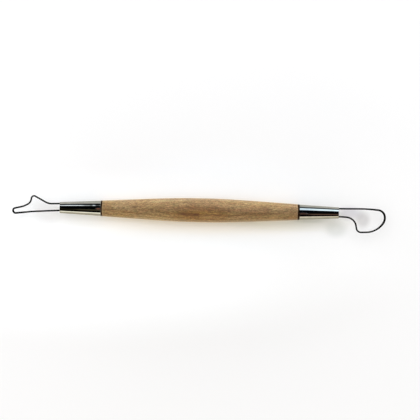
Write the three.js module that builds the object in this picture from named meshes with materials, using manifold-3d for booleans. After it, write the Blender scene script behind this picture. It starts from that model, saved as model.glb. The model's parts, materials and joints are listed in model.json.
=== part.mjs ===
// Double-ended loop tool for clay: a turned hardwood handle between two tapered metal ferrules, and in each
// ferrule's mouth a loop bent from round spring wire, one pointed like a fin and one rounded like a bean.
// Millimetres. +X runs along the handle to the rounded loop, +Y lies across the loops, +Z is up from the
// bench. The origin is on the bench, under the middle of the belly.
import * as THREE from "three";
import { mergeVertices } from "three/addons/utils/BufferGeometryUtils.js";
import Module from "manifold-3d";

// Handle: one turned piece, a belly with a straight taper to each shoulder and a tenon beyond it
const HANDLE_LENGTH = 106.8; // shoulder to shoulder
const BELLY_DIAMETER = 13;
const BELLY_LAND = 8; // straight stretch at the middle, which the tool lies on
const BELLY_BLEND = 14; // length over which the belly bends into the tapers
const SHOULDER_STEP = 0.1; // shoulder over the ferrule's base, on the radius
const SHOULDER_CHAMFER = 0.25;
const TENON_CHAMFER = 0.4;

// Ferrules: tapered tubes with a rolled lip against the shoulder, alike but for their lengths
const POINTED_FERRULE_LENGTH = 22.6;
const ROUNDED_FERRULE_LENGTH = 21.8;
const FERRULE_BASE_DIAMETER = 8.3;
const FERRULE_MOUTH_DIAMETER = 6.05;
const FERRULE_WALL = 0.25;
const MOUTH_EDGE = 0.08; // rounding of the mouth's rim
const LIP_RISE = 0.14; // lip over the ferrule's base, on the radius
const LIP_WIDTH = 0.7;
const LIP_ROUND = 0.12;

// Wire loops, and the leg that each end of a wire has in its ferrule
const WIRE_DIAMETER = 0.9;
const LEG_END_TO_SHOULDER = 7;
const LEG_BEND = 2.8; // bend radius where a leg leaves the glue

// Glue that seals each mouth around the two legs
const GLUE_RECESS = 0.4; // glue's face in from the mouth
const GLUE_DEPTH = 3.6;

// Gaps between neighbours
const SEAT_GAP = 0.3; // ferrule to shoulder, and tenon to glue
const BORE_GAP = 0.3; // tenon and glue to the ferrule's bore
const GROOVE_GAP = 0.2; // wire to its groove in the tenon and the glue

// Smoothness of the facets
const TURNED_SIDES = 24; // facets round each turned piece, one of them straight down
const TAPER_STEPS = 9; // cones in each half of the handle
const WIRE_SIDES = 10;
const BEND_TOLERANCE = 0.015; // how far a bend's chords may cut inside its arc
const BEND_STEP = THREE.MathUtils.degToRad(14); // widest turn from one chord to the next
const BEND_ROOM = 0.98; // share of a straight run that the bends at its two ends may take
const STRAIGHT = 1e-6; // radians, below which a corner is no bend

// Each end is drawn with its mouth towards +X. A loop's corners are given as the distance out from the mouth,
// the distance across the axis and the bend radius, from the leg on the +Y side round to the other leg.
// The insets are the gaps between a leg and the bore beside it, at the mouth.
const POINTED_END = {
  name: "pointed",
  ferruleLength: POINTED_FERRULE_LENGTH,
  insets: [0.77, 0.17],
  corners: [
    [14.2, 2.35, 60], // long straight edge
    [25.5, 3.6, 1.45], // blunt nose
    [25.4, 0.95, 1.2],
    [19.5, -0.45, 10.6], // hollow behind the nose
    [16.05, -2.3, 3.6],
    [15.2, -6.85, 1.45], // point of the fin
    [6.2, -1.95, 6.8], // foot of the fin's back
  ],
};
const ROUNDED_END = {
  name: "rounded",
  ferruleLength: ROUNDED_FERRULE_LENGTH,
  insets: [0.05, 0.3],
  corners: [
    [16.5, 2.5, 80], // upper leg, all but straight
    [24.9, 1.55, 4.1], // top of the rounded front
    [25.35, -3.7, 5.35],
    [20.95, -10.1, 11.3],
    [10.2, -10.4, 2.55], // heel
    [9.2, -4.4, 5.4], // neck back to the lower leg
    [5.6, -2.25, 6.6],
  ],
};

const wood = new THREE.MeshStandardMaterial({ color: 0x9a7850, roughness: 0.75, metalness: 0 });
const plating = new THREE.MeshStandardMaterial({ color: 0xc4c6c9, roughness: 0.12, metalness: 1 });
const springSteel = new THREE.MeshStandardMaterial({ color: 0x8f8d8a, roughness: 0.32, metalness: 1 });
const glue = new THREE.MeshStandardMaterial({ color: 0x8a7a5c, roughness: 0.35, metalness: 0 });

const halfHandle = HANDLE_LENGTH / 2;
const bellyRadius = BELLY_DIAMETER / 2;
const baseRadius = FERRULE_BASE_DIAMETER / 2;
const mouthRadius = FERRULE_MOUTH_DIAMETER / 2;
const wireRadius = WIRE_DIAMETER / 2;
const shoulderRadius = baseRadius + SHOULDER_STEP;
const ferruleStart = halfHandle + SEAT_GAP;

const wasm = await Module();
wasm.setup();

/** A closed geometry as a solid that can be joined and cut. */
function toSolid(geometry) {
  const bare = geometry.clone();
  bare.deleteAttribute("normal");
  bare.deleteAttribute("uv");
  const merged = mergeVertices(bare, 1e-5);
  const corners = merged.index.array;
  const triangles = [];
  for (let i = 0; i < corners.length; i += 3) {
    const [a, b, c] = corners.slice(i, i + 3);
    if (a !== b && b !== c && c !== a) triangles.push(a, b, c);
  }
  return new wasm.Manifold(
    new wasm.Mesh({
      numProp: 3,
      vertProperties: new Float32Array(merged.attributes.position.array),
      triVerts: new Uint32Array(triangles),
    }),
  );
}

/** A solid back as a geometry. */
function toGeometry(solid) {
  const mesh = solid.getMesh();
  const geometry = new THREE.BufferGeometry();
  geometry.setAttribute("position", new THREE.BufferAttribute(mesh.vertProperties, 3));
  geometry.setIndex(new THREE.BufferAttribute(mesh.triVerts, 1));
  geometry.computeVertexNormals();
  return geometry;
}

/**
 * A body of revolution about the X axis. The profile's [x, radius] points go along the outside towards +X.
 * Its facets touch the round surface from outside, so it has the true diameter across two facets.
 */
function turned(profile) {
  const halfFacet = Math.PI / TURNED_SIDES;
  const points = profile.map(([x, radius]) => new THREE.Vector2(radius / Math.cos(halfFacet), x));
  return new THREE.LatheGeometry(points, TURNED_SIDES, halfFacet).rotateZ(-Math.PI / 2);
}

/** The ferrule's outer radius at a distance from the handle's middle. */
function ferruleRadius(x, end) {
  const share = (x - ferruleStart) / end.ferruleLength;
  return THREE.MathUtils.lerp(baseRadius, mouthRadius, share);
}

function boreRadius(x, end) {
  return ferruleRadius(x, end) - FERRULE_WALL;
}

function mouthX(end) {
  return ferruleStart + end.ferruleLength;
}

/** Where the glue starts behind the mouth. The tenon ends a seat's gap before it. */
function glueStart(end) {
  return mouthX(end) - GLUE_RECESS - GLUE_DEPTH;
}

/** The handle's radius at a distance from its middle: a land, then a hyperbola that runs out into a taper. */
function handleRadius(x) {
  const fall = (distance) => Math.hypot(distance, BELLY_BLEND) - BELLY_BLEND;
  const run = Math.max(0, x - BELLY_LAND / 2);
  return bellyRadius - ((bellyRadius - shoulderRadius) * fall(run)) / fall(halfHandle - BELLY_LAND / 2);
}

/** Half of the handle's profile, from the land's edge out to the middle of the tenon's end. */
function halfHandleProfile(end) {
  const profile = [];
  const bodyEnd = halfHandle - SHOULDER_CHAMFER;
  for (let i = 0; i <= TAPER_STEPS; i += 1) {
    const x = THREE.MathUtils.lerp(BELLY_LAND / 2, bodyEnd, i / TAPER_STEPS);
    profile.push([x, handleRadius(x)]);
  }
  const tenonEnd = glueStart(end) - SEAT_GAP;
  const tenonRadius = (x) => boreRadius(x, end) - BORE_GAP;
  profile.push([halfHandle, shoulderRadius - SHOULDER_CHAMFER]);
  profile.push([halfHandle, tenonRadius(ferruleStart)]);
  profile.push([ferruleStart, tenonRadius(ferruleStart)]);
  profile.push([tenonEnd - TENON_CHAMFER, tenonRadius(tenonEnd - TENON_CHAMFER)]);
  profile.push([tenonEnd, tenonRadius(tenonEnd) - TENON_CHAMFER]);
  profile.push([tenonEnd, 0]);
  return profile;
}

/** One leg of a wire: where it passes the mouth, and its end deeper in, as far from the tapering bore. */
function leg(end, side) {
  const across = boreRadius(mouthX(end), end) - end.insets[side > 0 ? 0 : 1] - wireRadius;
  const innerX = halfHandle + LEG_END_TO_SHOULDER;
  const widening = boreRadius(innerX, end) - boreRadius(mouthX(end), end);
  return {
    mouth: new THREE.Vector2(mouthX(end), side * across),
    inner: new THREE.Vector2(innerX, side * (across + widening)),
  };
}

/** Cutter for a leg's groove: round at the bottom, open away from the axis, a little longer than the leg. */
function grooveCutter(end, side) {
  const { mouth, inner } = leg(end, side);
  const half = wireRadius + GROOVE_GAP;
  const depth = boreRadius(ferruleStart, end);
  const section = new THREE.Shape();
  section.moveTo(depth, half);
  section.lineTo(0, half);
  section.absarc(0, 0, half, Math.PI / 2, (3 * Math.PI) / 2, false);
  section.lineTo(depth, -half);
  const along = mouth.clone().sub(inner).normalize();
  const length = mouth.distanceTo(inner) + 2 * GROOVE_GAP;
  const outward = new THREE.Vector3(-along.y, along.x, 0).multiplyScalar(side);
  const forward = new THREE.Vector3(along.x, along.y, 0);
  const upward = new THREE.Vector3().crossVectors(forward, outward);
  const start = new THREE.Vector3(inner.x, inner.y, 0).addScaledVector(forward, -GROOVE_GAP);
  const place = new THREE.Matrix4().makeBasis(outward, upward, forward).setPosition(start);
  const cutter = new THREE.ExtrudeGeometry(section, { depth: length, bevelEnabled: false, curveSegments: 6 });
  return cutter.applyMatrix4(place);
}

/** A ferrule: outside from the lip to the mouth, then back along the bore. */
function ferruleGeometry(end) {
  const lipRadius = baseRadius + LIP_RISE;
  const lipEnd = ferruleStart + LIP_WIDTH;
  const mouth = mouthX(end);
  const bore = boreRadius(mouth, end);
  const profile = [
    [ferruleStart, lipRadius - LIP_ROUND],
    [ferruleStart + LIP_ROUND, lipRadius],
    [lipEnd - LIP_ROUND, lipRadius],
    [lipEnd, ferruleRadius(lipEnd, end)],
    [mouth - MOUTH_EDGE, ferruleRadius(mouth - MOUTH_EDGE, end)],
    [mouth, mouthRadius - MOUTH_EDGE],
    [mouth, bore + MOUTH_EDGE],
    [mouth - MOUTH_EDGE, bore],
    [ferruleStart, boreRadius(ferruleStart, end)],
  ];
  return turned([...profile, profile[0]]);
}

/** The glue in a mouth, with a notch for each leg. */
function glueGeometry(end) {
  const from = glueStart(end);
  const to = mouthX(end) - GLUE_RECESS;
  const plug = turned([
    [from, 0],
    [from, boreRadius(from, end) - BORE_GAP],
    [to, boreRadius(to, end) - BORE_GAP],
    [to, 0],
  ]);
  return toGeometry(cutBy(toSolid(plug), [grooveCutter(end, 1), grooveCutter(end, -1)]));
}

function cutBy(solid, cutters) {
  return cutters.reduce((rest, cutter) => rest.subtract(toSolid(cutter)), solid);
}

/** The handle, with the grooves for both loops' legs. */
function handleGeometry() {
  const right = halfHandleProfile(ROUNDED_END);
  const left = halfHandleProfile(POINTED_END).map(([x, radius]) => [-x, radius]).reverse();
  const grooves = [1, -1].flatMap((side) => [
    grooveCutter(ROUNDED_END, side),
    grooveCutter(POINTED_END, side).rotateZ(Math.PI),
  ]);
  return toGeometry(cutBy(toSolid(turned([...left, ...right])), grooves));
}

/** How far before each corner its bend starts. Bends that would meet on a run are both drawn in to fit it. */
function bendSetbacks(corners) {
  const runs = corners.slice(1).map(({ at }, i) => at.distanceTo(corners[i].at));
  const turns = corners.map(({ at }, i) => {
    if (i === 0 || i === corners.length - 1) return 0;
    const arriving = at.clone().sub(corners[i - 1].at);
    const leaving = corners[i + 1].at.clone().sub(at);
    return Math.atan2(arriving.cross(leaving), arriving.dot(leaving));
  });
  const wanted = turns.map((turn, i) => {
    const size = Math.abs(turn);
    return size < STRAIGHT ? 0 : corners[i].bend * Math.tan(size / 2);
  });
  const fits = runs.map((run, i) => 1 / Math.max(1, (wanted[i] + wanted[i + 1]) / (BEND_ROOM * run)));
  const setbacks = wanted.map((setback, i) => setback * Math.min(fits[i - 1] ?? 1, fits[i] ?? 1));
  return { turns, setbacks };
}

/** Points along a bent wire: straight runs between corners, each corner rounded by an arc. */
function bentPath(corners) {
  const { turns, setbacks } = bendSetbacks(corners);
  const path = [corners[0].at];
  for (let i = 1; i < corners.length - 1; i += 1) {
    const { at } = corners[i];
    const size = Math.abs(turns[i]);
    if (size < STRAIGHT) continue;
    const radius = setbacks[i] / Math.tan(size / 2);
    const arriving = at.clone().sub(corners[i - 1].at).normalize();
    const start = at.clone().addScaledVector(arriving, -setbacks[i]);
    const toCentre = new THREE.Vector2(-arriving.y, arriving.x).multiplyScalar(Math.sign(turns[i]) * radius);
    const centre = start.clone().add(toCentre);
    const step = Math.min(BEND_STEP, 2 * Math.acos(1 - BEND_TOLERANCE / radius));
    const chords = Math.ceil(size / step);
    for (let k = 0; k <= chords; k += 1) {
      path.push(start.clone().rotateAround(centre, (turns[i] * k) / chords));
    }
  }
  path.push(corners[corners.length - 1].at);
  return path;
}

/** A round wire along points in the XY plane, closed by a flat disc at each end. */
function wireAlong(path) {
  const positions = [];
  const triangles = [];
  const up = new THREE.Vector3(0, 0, 1);
  path.forEach((point, i) => {
    const before = path[Math.max(0, i - 1)];
    const after = path[Math.min(path.length - 1, i + 1)];
    const along = after.clone().sub(before).normalize();
    const across = new THREE.Vector3(-along.y, along.x, 0);
    for (let j = 0; j < WIRE_SIDES; j += 1) {
      const angle = (2 * Math.PI * j) / WIRE_SIDES;
      const corner = new THREE.Vector3(point.x, point.y, 0);
      corner.addScaledVector(across, wireRadius * Math.cos(angle));
      corner.addScaledVector(up, wireRadius * Math.sin(angle));
      positions.push(...corner);
    }
  });
  const ring = (i, j) => i * WIRE_SIDES + (j % WIRE_SIDES);
  for (let i = 0; i < path.length - 1; i += 1) {
    for (let j = 0; j < WIRE_SIDES; j += 1) {
      triangles.push(ring(i, j), ring(i, j + 1), ring(i + 1, j + 1));
      triangles.push(ring(i, j), ring(i + 1, j + 1), ring(i + 1, j));
    }
  }
  const last = path.length - 1;
  for (let j = 1; j < WIRE_SIDES - 1; j += 1) {
    triangles.push(ring(0, 0), ring(0, j + 1), ring(0, j));
    triangles.push(ring(last, 0), ring(last, j), ring(last, j + 1));
  }
  const geometry = new THREE.BufferGeometry();
  geometry.setAttribute("position", new THREE.Float32BufferAttribute(positions, 3));
  geometry.setIndex(triangles);
  geometry.computeVertexNormals();
  return geometry;
}

/** A loop with its two legs: in along one leg, round the corners and back along the other. */
function loopGeometry(end) {
  const first = leg(end, 1);
  const second = leg(end, -1);
  const mouth = mouthX(end);
  const corners = end.corners.map(([out, across, bend]) => {
    return { at: new THREE.Vector2(mouth + out, across), bend };
  });
  return wireAlong(
    bentPath([
      { at: first.inner },
      { at: first.mouth, bend: LEG_BEND },
      ...corners,
      { at: second.mouth, bend: LEG_BEND },
      { at: second.inner },
    ]),
  );
}

function named(name, geometry, material) {
  const mesh = new THREE.Mesh(geometry, material);
  mesh.name = name;
  return mesh;
}

/** One end of the tool: its ferrule, its loop and the glue in its mouth. */
function makeEnd(end) {
  const group = new THREE.Group();
  group.add(named(`${end.name}_end_ferrule`, ferruleGeometry(end), plating));
  group.add(named(`${end.name}_loop`, loopGeometry(end), springSteel));
  group.add(named(`${end.name}_end_glue`, glueGeometry(end), glue));
  return group;
}

const tool = new THREE.Group();
tool.position.z = bellyRadius;
tool.add(named("handle", handleGeometry(), wood));
tool.add(makeEnd(ROUNDED_END));
const pointedEnd = makeEnd(POINTED_END);
pointedEnd.rotation.z = Math.PI;
tool.add(pointedEnd);

export default tool;
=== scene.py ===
# %% [markdown]
# A clay tool with a wire loop at each end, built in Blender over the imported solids, which keep the sizes.
# Each of the seven pieces is modelled again with rounder forms and a real finish, and then stands in for
# its solid. Everything is in metres: X runs along the handle, Z is up, and the origin is on the bench.

# %% Load the solids as a fixed frame
import json
import math

import bpy
import numpy as np
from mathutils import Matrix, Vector

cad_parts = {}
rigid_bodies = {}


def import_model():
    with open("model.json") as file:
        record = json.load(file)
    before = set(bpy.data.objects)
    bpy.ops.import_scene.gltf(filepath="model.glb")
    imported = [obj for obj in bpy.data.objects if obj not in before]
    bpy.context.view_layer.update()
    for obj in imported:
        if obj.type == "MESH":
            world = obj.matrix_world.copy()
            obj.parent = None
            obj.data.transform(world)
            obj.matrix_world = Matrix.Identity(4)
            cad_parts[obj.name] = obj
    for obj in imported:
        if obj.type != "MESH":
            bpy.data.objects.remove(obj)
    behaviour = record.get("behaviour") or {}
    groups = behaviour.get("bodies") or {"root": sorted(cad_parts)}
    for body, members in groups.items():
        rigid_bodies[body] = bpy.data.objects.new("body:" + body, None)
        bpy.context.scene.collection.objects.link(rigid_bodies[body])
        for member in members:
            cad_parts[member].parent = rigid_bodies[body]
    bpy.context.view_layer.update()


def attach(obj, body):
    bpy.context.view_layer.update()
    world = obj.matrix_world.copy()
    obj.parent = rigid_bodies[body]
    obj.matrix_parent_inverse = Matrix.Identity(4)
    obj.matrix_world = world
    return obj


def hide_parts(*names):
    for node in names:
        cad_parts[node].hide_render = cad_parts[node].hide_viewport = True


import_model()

# %% [markdown]
# The camera comes first, because every later choice is judged through it. It looks straight down, as in the
# photograph, and it is turned a little about its own axis, which lays the tool slightly clockwise in the
# picture. A long lens from 1.3 metres leaves hardly any perspective.

# %% Camera straight above the tool
MM = 0.001  # a millimetre in metres
AXIS = 6.5 * MM  # height of the tool's axis over the bench
PIXEL = 0.5445 * MM  # one pixel of the photograph, at the height of the axis
PICTURE = 420  # pixels along each side of the photograph
PICTURE_CENTRE = (5.44 * MM, 0.24 * MM)  # what the middle of the picture shows
CAMERA_RISE = 1300 * MM
TOOL_SLOPE = 0.0195  # how far the axis falls to the right in the picture

lens = bpy.data.cameras.new("camera")
lens.sensor_width = 36
lens.lens = lens.sensor_width * CAMERA_RISE / (PICTURE * PIXEL)
camera = bpy.data.objects.new("camera", lens)
bpy.context.scene.collection.objects.link(camera)
camera.location = (*PICTURE_CENTRE, AXIS + CAMERA_RISE)
camera.rotation_euler = (0, 0, math.atan(TOOL_SLOPE))
bpy.context.scene.camera = camera
bpy.context.scene.view_settings.view_transform = "Standard"
print(f"lens {lens.lens:.1f} mm, {CAMERA_RISE / MM:.0f} mm over the axis")

# %% [markdown]
# Materials are built from nodes in code, so a few small helpers come first. One adds a node with its
# options and fills its inputs by name or number, with a plain value or with a link. The others add one
# common node each, such as a sum, a change of range or a mix of two colours.

# %% Helpers for building node trees
def put(tree, kind, inputs=None, **options):
    """Adds a node. An input's value is a number, a colour or another node's output."""
    node = tree.nodes.new("ShaderNode" + kind)
    for option, value in options.items():
        setattr(node, option, value)
    for name, value in (inputs or {}).items():
        if isinstance(value, bpy.types.NodeSocket):
            tree.links.new(value, node.inputs[name])
        else:
            node.inputs[name].default_value = value
    return node


def sums(tree, operation, first, second=0.0):
    return put(tree, "Math", {0: first, 1: second}, operation=operation).outputs[0]


def times(tree, first, second):
    return sums(tree, "MULTIPLY", first, second)


def vectors(tree, operation, first, second):
    return put(tree, "VectorMath", {0: first, 1: second}, operation=operation).outputs[0]


def span(tree, value, low, high, to_low=0.0, to_high=1.0, soft=False):
    """Carries a value from one range to another, held at both ends."""
    ends = {"Value": value, "From Min": low, "From Max": high, "To Min": to_low, "To Max": to_high}
    kind = "SMOOTHSTEP" if soft else "LINEAR"
    return put(tree, "MapRange", ends, interpolation_type=kind).outputs["Result"]


def mixed(tree, share, first, second, way="MIX"):
    return put(tree, "Mix", {0: share, 6: first, 7: second}, data_type="RGBA", blend_type=way).outputs[2]


def multiplied(tree, colour, tint, share=1.0):
    """A colour multiplied by a tint, in full or by a share."""
    return mixed(tree, share, colour, tint, "MULTIPLY")


def from_axis(tree):
    """Object coordinates, with the height counted from the tool's axis."""
    place = put(tree, "TexCoord").outputs["Object"]
    return put(tree, "Mapping", {"Vector": place, "Location": (0, 0, -AXIS)}).outputs[0]


# %% [markdown]
# Three effects are shared by several finishes, so each is a node group that is built once. Fine lines are
# grain in the wood, polishing marks on the plating and drawing marks on the wire. Smudges are what fingers
# leave. A blot is one soft-edged spot at a given place, such as a stain.

# %% Shared effects
def new_group(name, vector_inputs, number_inputs):
    """Starts a node group with one number as its output."""
    group = bpy.data.node_groups.new(name, "ShaderNodeTree")
    kinds = {**dict.fromkeys(vector_inputs, "Vector"), **dict.fromkeys(number_inputs, "Float")}
    for label, kind in kinds.items():
        group.interface.new_socket(label, in_out="INPUT", socket_type="NodeSocket" + kind)
    group.interface.new_socket("Mask", in_out="OUTPUT", socket_type="NodeSocketFloat")
    source = group.nodes.new("NodeGroupInput")
    return group, source.outputs, group.nodes.new("NodeGroupOutput").inputs[0]


def use_group(tree, group, inputs):
    return put(tree, "Group", inputs, node_tree=group).outputs[0]


def fine_lines_group():
    """Lines that run along the vector's X: each about Length long and Width wide."""
    group, source, sink = new_group("fine_lines", ["Vector"], ["Length", "Width", "Contrast"])
    along = sums(group, "DIVIDE", 1.0, source["Length"])
    across = sums(group, "DIVIDE", 1.0, source["Width"])
    scale = put(group, "CombineXYZ", {0: along, 1: across, 2: across}).outputs[0]
    place = vectors(group, "MULTIPLY", source["Vector"], scale)
    noise = put(group, "TexNoise", {"Vector": place, "Scale": 1.0, "Detail": 2.0, "Roughness": 0.6})
    wide = sums(group, "DIVIDE", 0.25, source["Contrast"])
    low = sums(group, "SUBTRACT", 0.5, wide)
    high = sums(group, "ADD", 0.5, wide)
    group.links.new(span(group, noise.outputs["Fac"], low, high), sink)
    return group


def smudges_group():
    """Cloudy patches about Size across."""
    group, source, sink = new_group("smudges", ["Vector"], ["Size"])
    scale = sums(group, "DIVIDE", 1.0, source["Size"])
    noise = put(group, "TexNoise", {"Vector": source["Vector"], "Scale": scale, "Detail": 3.0})
    group.links.new(span(group, noise.outputs["Fac"], 0.35, 0.7, soft=True), sink)
    return group


def blot_group():
    """A soft spot round Centre that fades out over Reach."""
    group, source, sink = new_group("blot", ["Vector", "Centre", "Reach"], [])
    away = vectors(group, "SUBTRACT", source["Vector"], source["Centre"])
    share = vectors(group, "DIVIDE", away, source["Reach"])
    distance = put(group, "VectorMath", {0: share}, operation="LENGTH").outputs["Value"]
    group.links.new(span(group, distance, 0.25, 1.0, 1.0, 0.0, soft=True), sink)
    return group


FINE_LINES = fine_lines_group()
SMUDGES = smudges_group()
BLOT = blot_group()
print("groups:", [group.name for group in bpy.data.node_groups])

# %% Soft spots
ANY_HEIGHT = 1000  # a reach in millimetres that is endless beside the tool


def blot(tree, place, centre, reach):
    """The mask of one soft spot. Its centre and reach are in millimetres."""
    spot = {"Centre": Vector(centre) * MM, "Reach": Vector(reach) * MM}
    return use_group(tree, BLOT, {"Vector": place, **spot})


def tint_spots(tree, place, colour, spots):
    """Multiplies a colour in soft spots. Each has its centre and reach in millimetres, and its tint."""
    for centre, reach, tint in spots:
        colour = multiplied(tree, colour, (*tint, 1), blot(tree, place, (*centre, 0), (*reach, ANY_HEIGHT)))
    return colour


# %% [markdown]
# The bench is white paper. Light Path tells what kind of ray meets it. For light that bounces on to the
# tool it is plain white. For the camera its colour is tuned with broad soft spots, so the tool's own shadow
# is as soft and as warm as in the photograph. Polished metal sees a warm grey that ends in a dark patch at
# the far right. Far away the paper glows evenly, so that no horizon shows from the side. A program fitted
# the first eight spots and the paper's seen colour to the photograph.

# %% Colours of the paper
WHITE = (1, 1, 1, 1)
PAPER = (0.80, 0.80, 0.79, 1)
PAPER_SEEN = (0.976, 0.964, 0.967, 1)
PAPER_NEAR_IN_METAL = (0.60, 0.555, 0.425, 1)  # on the near side (-Y) of the tool
PAPER_FAR_IN_METAL = (0.60, 0.585, 0.52, 1)
DARK_PATCH = (0.05, 0.055, 0.06, 1)
PATCH_FROM, PATCH_TO = 70 * MM, 160 * MM  # across the bench, where the dark patch sets in
PATCH_EDGE = 10 * MM  # and along the tool, to each side of its middle
AXIS_BLEND = 3 * MM  # how far to each side of the axis the near side turns into the far side
EVEN_FROM, EVEN_TO = 0.35, 0.6  # metres from the tool, over which the paper becomes evenly white
SHADE = [  # centre and reach in millimetres along and across, and what multiplies the paper
    ((81.9, 0.0), (9.5, 5.2), (0.79, 0.78, 0.815)),
    ((89.2, -3.6), (5.6, 6.3), (0.765, 0.755, 0.755)),
    ((74.6, -8.9), (8.8, 6.5), (0.835, 0.845, 0.83)),
    ((45.0, -4.6), (41.7, 8.9), (0.85, 0.855, 0.815)),
    ((-83.7, -3.0), (11.4, 10.0), (0.885, 0.875, 0.87)),
    ((1.8, -4.1), (99.7, 13.2), (1.11, 1.05, 0.935)),
    ((10.4, 2.0), (77.2, 40.4), (1.02, 1.04, 1.06)),
    ((-51.8, -26.9), (173.4, 52.3), (1.15, 1.17, 1.185)),
    ((0.0, 0.0), (80.0, 8.6), (1.08, 0.98, 0.76)),
    ((-36.0, -5.6), (26.0, 2.6), (0.93, 0.92, 0.90)),
    ((60.0, -4.6), (13.0, 1.8), (0.87, 0.87, 0.86)),
]
print(len(SHADE), "soft spots on the paper")

# %% Paper material
def new_material(name):
    material = bpy.data.materials.new(name)
    material.use_nodes = True
    material.node_tree.nodes.clear()
    return material, material.node_tree


def end_material(material, surface):
    """Gives a material its surface, and prints how many nodes it took."""
    put(material.node_tree, "OutputMaterial", {"Surface": surface.outputs[0]})
    print(material.name, "has", len(material.node_tree.nodes), "nodes")
    return material


def paper_material():
    material, tree = new_material("white_paper")
    path = put(tree, "LightPath").outputs
    place = put(tree, "TexCoord").outputs["Object"]
    parts = put(tree, "SeparateXYZ", {0: place}).outputs
    far_side = span(tree, parts["Y"], -AXIS_BLEND, AXIS_BLEND)
    in_metal = mixed(tree, far_side, PAPER_NEAR_IN_METAL, PAPER_FAR_IN_METAL)
    to_the_right = span(tree, parts["X"], -PATCH_EDGE, PATCH_EDGE)
    patch = times(tree, span(tree, parts["Y"], PATCH_FROM, PATCH_TO), to_the_right)
    in_metal = mixed(tree, patch, in_metal, DARK_PATCH)
    seen = tint_spots(tree, place, PAPER_SEEN, SHADE)
    colour = mixed(tree, path["Is Glossy Ray"], PAPER, in_metal)
    colour = mixed(tree, path["Is Camera Ray"], colour, seen)
    paper = put(tree, "BsdfDiffuse", {"Color": colour})
    distance = put(tree, "VectorMath", {0: place}, operation="LENGTH").outputs["Value"]
    far = times(tree, span(tree, distance, EVEN_FROM, EVEN_TO, soft=True), path["Is Camera Ray"])
    glow = put(tree, "Emission", {"Color": WHITE, "Strength": 1.0})
    return end_material(material, put(tree, "MixShader", {0: far, 1: paper.outputs[0], 2: glow.outputs[0]}))


# %% White bench
def switch(mode):
    bpy.ops.object.mode_set(mode=mode)


def select_none():
    """Leaves edit mode and drops the selection, so that the next tool works on its own piece alone."""
    if bpy.context.object and bpy.context.object.mode != "OBJECT":
        switch("OBJECT")
    bpy.ops.object.select_all(action="DESELECT")


BENCH_SIZE = 8  # metres, so that its edge is far off

select_none()
bpy.ops.mesh.primitive_plane_add(size=BENCH_SIZE, location=(0, 0, 0))
bench = bpy.context.object
bench.name = bench.data.name = "bench"
bench.data.materials.append(paper_material())
print("bench", tuple(bench.dimensions))

# %% [markdown]
# The light is that of a small studio: pale walls on two sides, and darkness overhead where the camera
# hangs. The air's own light is cool and strong from the far side (+Y) and warm and weak from the near side
# (-Y), and soft lamps stand for the walls. Polished metal shows the room itself, so the room is painted
# into the world for the rays that leave the metal. Its bands are given by their angle from overhead, and
# they differ a little between the tool's left and right.

# %% Room that the metal sees
LIGHT_NEAR = (0.46, 0.44, 0.40, 1)
LIGHT_FAR = (1.14, 1.17, 1.20, 1)
ROOM_RIGHT = [  # degrees from overhead, towards +Y where positive, and the colour seen there
    (-90, (1.15, 1.03, 0.80)), (-76, (1.22, 1.04, 0.76)), (-71, (0.003, 0.001, 0.001)),
    (-46, (0.003, 0.001, 0.001)), (-40, (0.14, 0.08, 0.055)), (-29, (0.14, 0.08, 0.055)),
    (-20, (0.001, 0.001, 0.001)), (32, (0.001, 0.003, 0.005)), (37, (1.26, 1.54, 1.67)),
    (46, (1.45, 1.74, 1.88)), (63, (1.32, 1.58, 1.70)), (70, (0.02, 0.035, 0.04)),
    (80, (0.02, 0.03, 0.035)), (86, (0.14, 0.15, 0.15)), (90, (0.28, 0.28, 0.27)),
]
ROOM_LEFT = [
    (-90, (1.42, 1.35, 1.10)), (-76, (1.85, 1.77, 1.44)), (-71, (0.003, 0.003, 0.001)),
    (-40, (0.003, 0.002, 0.001)), (-35, (0.08, 0.072, 0.04)), (-25, (0.08, 0.072, 0.04)),
    (-18, (0.001, 0.001, 0.001)), (36, (0.001, 0.002, 0.002)), (40, (1.55, 1.68, 1.74)),
    (46, (1.55, 1.68, 1.74)), (51, (0.006, 0.01, 0.012)), (75, (0.006, 0.01, 0.012)),
    (82, (0.50, 0.48, 0.42)), (90, (0.58, 0.56, 0.48)),
]
SIDE_SPREAD = 0.16  # how far to either side the left room turns into the right one
END_FROM, END_TO, END_LEVEL = 0.4, 0.7, 0.12  # towards the tool's two ends the room gets this dark


def room_bands(tree, share, bands):
    """A colour ramp over the angle from overhead."""
    ramp = put(tree, "ValToRGB", {"Fac": share})
    stops = ramp.color_ramp.elements
    for number, (angle, colour) in enumerate(bands):
        position = (angle + 90) / 180
        stop = stops[number] if number < 2 else stops.new(position)
        stop.position, stop.color = position, (*colour, 1)
    return ramp.outputs["Color"]


def paint_room():
    world = bpy.data.worlds.new("studio")
    world.use_nodes = True
    bpy.context.scene.world = world
    tree = world.node_tree
    tree.nodes.clear()
    direction = put(tree, "SeparateXYZ", {0: put(tree, "TexCoord").outputs["Generated"]})
    angle = sums(tree, "ARCTAN2", direction.outputs["Y"], direction.outputs["Z"])
    share = span(tree, angle, -math.pi / 2, math.pi / 2)
    side = span(tree, direction.outputs["X"], -SIDE_SPREAD, SIDE_SPREAD)
    room = mixed(tree, side, room_bands(tree, share, ROOM_LEFT), room_bands(tree, share, ROOM_RIGHT))
    endways = sums(tree, "ABSOLUTE", direction.outputs["X"])
    room = multiplied(tree, room, span(tree, endways, END_FROM, END_TO, 1.0, END_LEVEL, soft=True))
    path = put(tree, "LightPath")
    light = mixed(tree, span(tree, direction.outputs["Y"], -1.0, 1.0), LIGHT_NEAR, LIGHT_FAR)
    light = mixed(tree, path.outputs["Is Glossy Ray"], light, room)
    light = mixed(tree, path.outputs["Is Camera Ray"], light, WHITE)
    put(tree, "OutputWorld", {"Surface": put(tree, "Background", {"Color": light}).outputs[0]})
    print("room:", len(ROOM_LEFT), "colours on the left and", len(ROOM_RIGHT), "on the right")


paint_room()


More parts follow.
